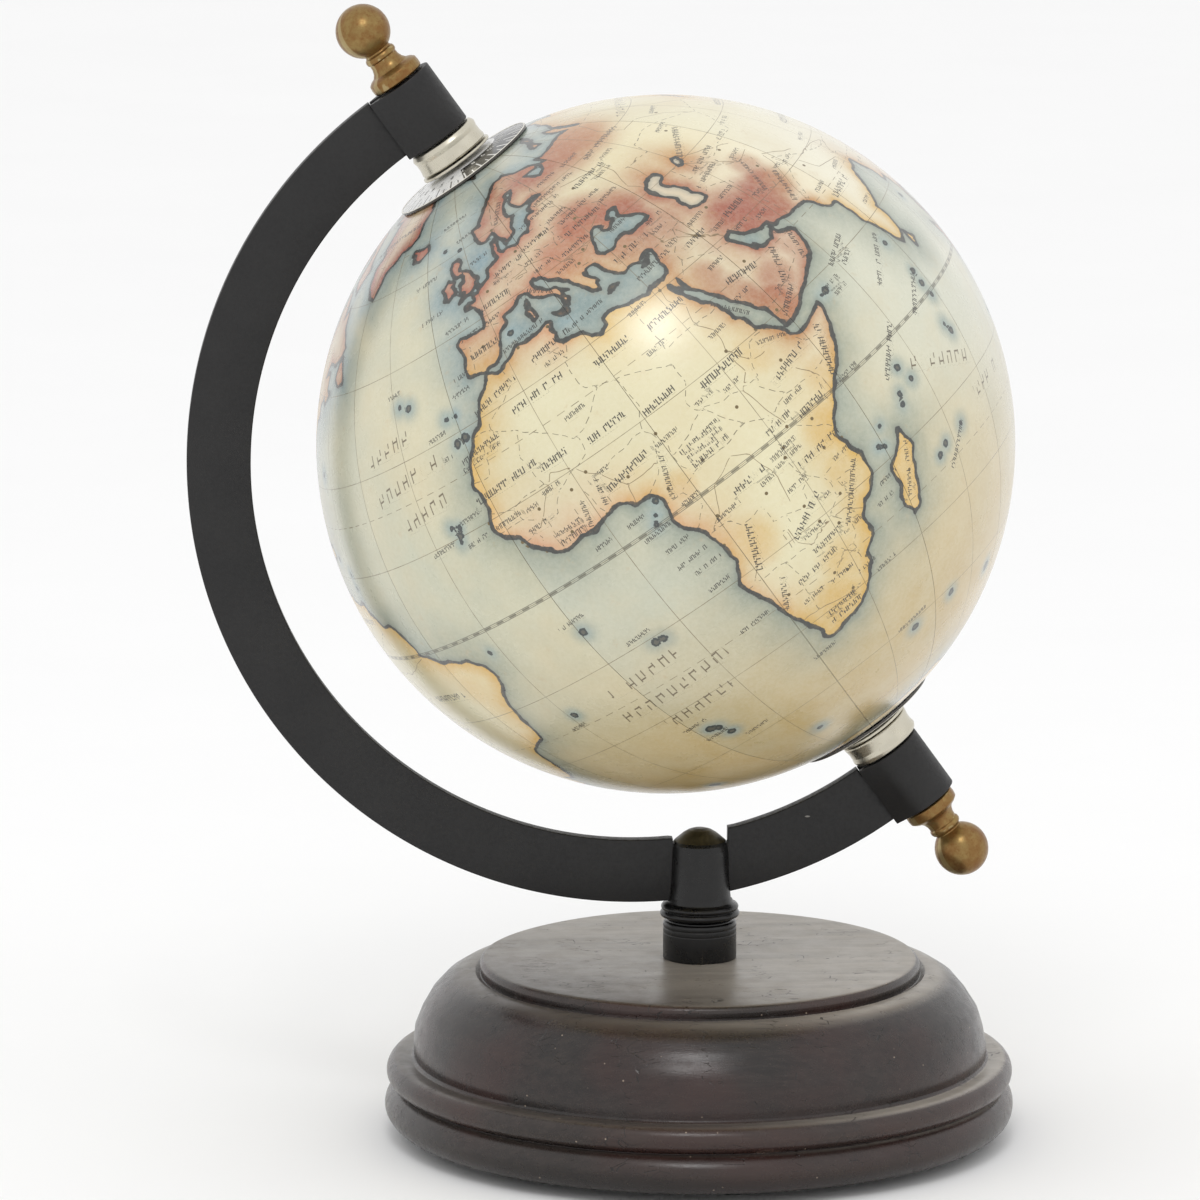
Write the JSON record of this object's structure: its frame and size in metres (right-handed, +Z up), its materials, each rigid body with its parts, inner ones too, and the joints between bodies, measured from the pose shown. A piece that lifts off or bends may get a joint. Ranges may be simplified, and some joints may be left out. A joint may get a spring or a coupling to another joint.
{
  "type": "desktop globe",
  "caption": "Small desktop world globe that spins on a leaning axle held in a flat C-shaped arm, on a turned wooden base with a slotted stem, brass ball finials and hour dials at the poles.",
  "frame": {"origin": "centre of the object's footprint box, on the surface its feet stand on", "axes": "+Z up; the polar axle lies in the XZ plane and its north end leans 35.8 degrees towards -X; the open side of the C-shaped arm faces +X"},
  "size_m": [0.1513, 0.127, 0.2093],
  "materials": {
    "wood_base": "dark stained, satin",
    "foot_rubber": "matt",
    "zinc_steel": "zinc plated",
    "black_metal": "black, half gloss",
    "arm_paint": "charcoal black, fine matt",
    "antique_brass": "antiqued, polished",
    "nickel": "nickel plated, warm",
    "dial_enamel": "white and black enamel",
    "shell_plastic": "moulded",
    "bearing_plastic": "moulded",
    "printed_paper": "varnished printed map in aged cream, ochre and pale blue"
  },
  "bodies": {
    "stand": {"turned_base": "wood_base", "rubber_foot_1": "foot_rubber", "rubber_foot_2": "foot_rubber", "rubber_foot_3": "foot_rubber", "rubber_foot_4": "foot_rubber", "stem_stud": "zinc_steel", "stud_washer": "zinc_steel", "stud_nut": "zinc_steel", "stem_ferrule": "black_metal", "stem_head": "black_metal", "globe_arm": "arm_paint", "north_collar": "arm_paint", "south_collar": "arm_paint", "polar_axle": "zinc_steel", "north_finial": "antique_brass", "south_finial": "antique_brass", "north_bushing": "nickel", "south_bushing": "nickel", "north_spacer": "nickel", "south_spacer": "nickel"},
    "globe": {"north_hemisphere": "shell_plastic", "south_hemisphere": "shell_plastic", "joining_ring": "shell_plastic", "north_pole_bearing": "bearing_plastic", "south_pole_bearing": "bearing_plastic", "map_gore_01": "printed_paper", "map_gore_02": "printed_paper", "map_gore_03": "printed_paper", "map_gore_04": "printed_paper", "map_gore_05": "printed_paper", "map_gore_06": "printed_paper", "map_gore_07": "printed_paper", "map_gore_08": "printed_paper", "map_gore_09": "printed_paper", "map_gore_10": "printed_paper", "map_gore_11": "printed_paper", "map_gore_12": "printed_paper"},
    "north_hour_dial": {"north_dial": "dial_enamel"},
    "south_hour_dial": {"south_dial": "dial_enamel"}
  },
  "joints": [
    {"name": "globe_spin", "type": "hinge", "parent": "stand", "child": "globe", "pos_m": [0.0114, 0, 0.1286], "axis": [-0.585, 0, 0.8111], "continuous": true},
    {"name": "north_dial_turn", "type": "hinge", "parent": "stand", "child": "north_hour_dial", "pos_m": [0.0114, 0, 0.1286], "axis": [-0.585, 0, 0.8111], "continuous": true},
    {"name": "south_dial_turn", "type": "hinge", "parent": "stand", "child": "south_hour_dial", "pos_m": [0.0114, 0, 0.1286], "axis": [-0.585, 0, 0.8111], "continuous": true}
  ]
}
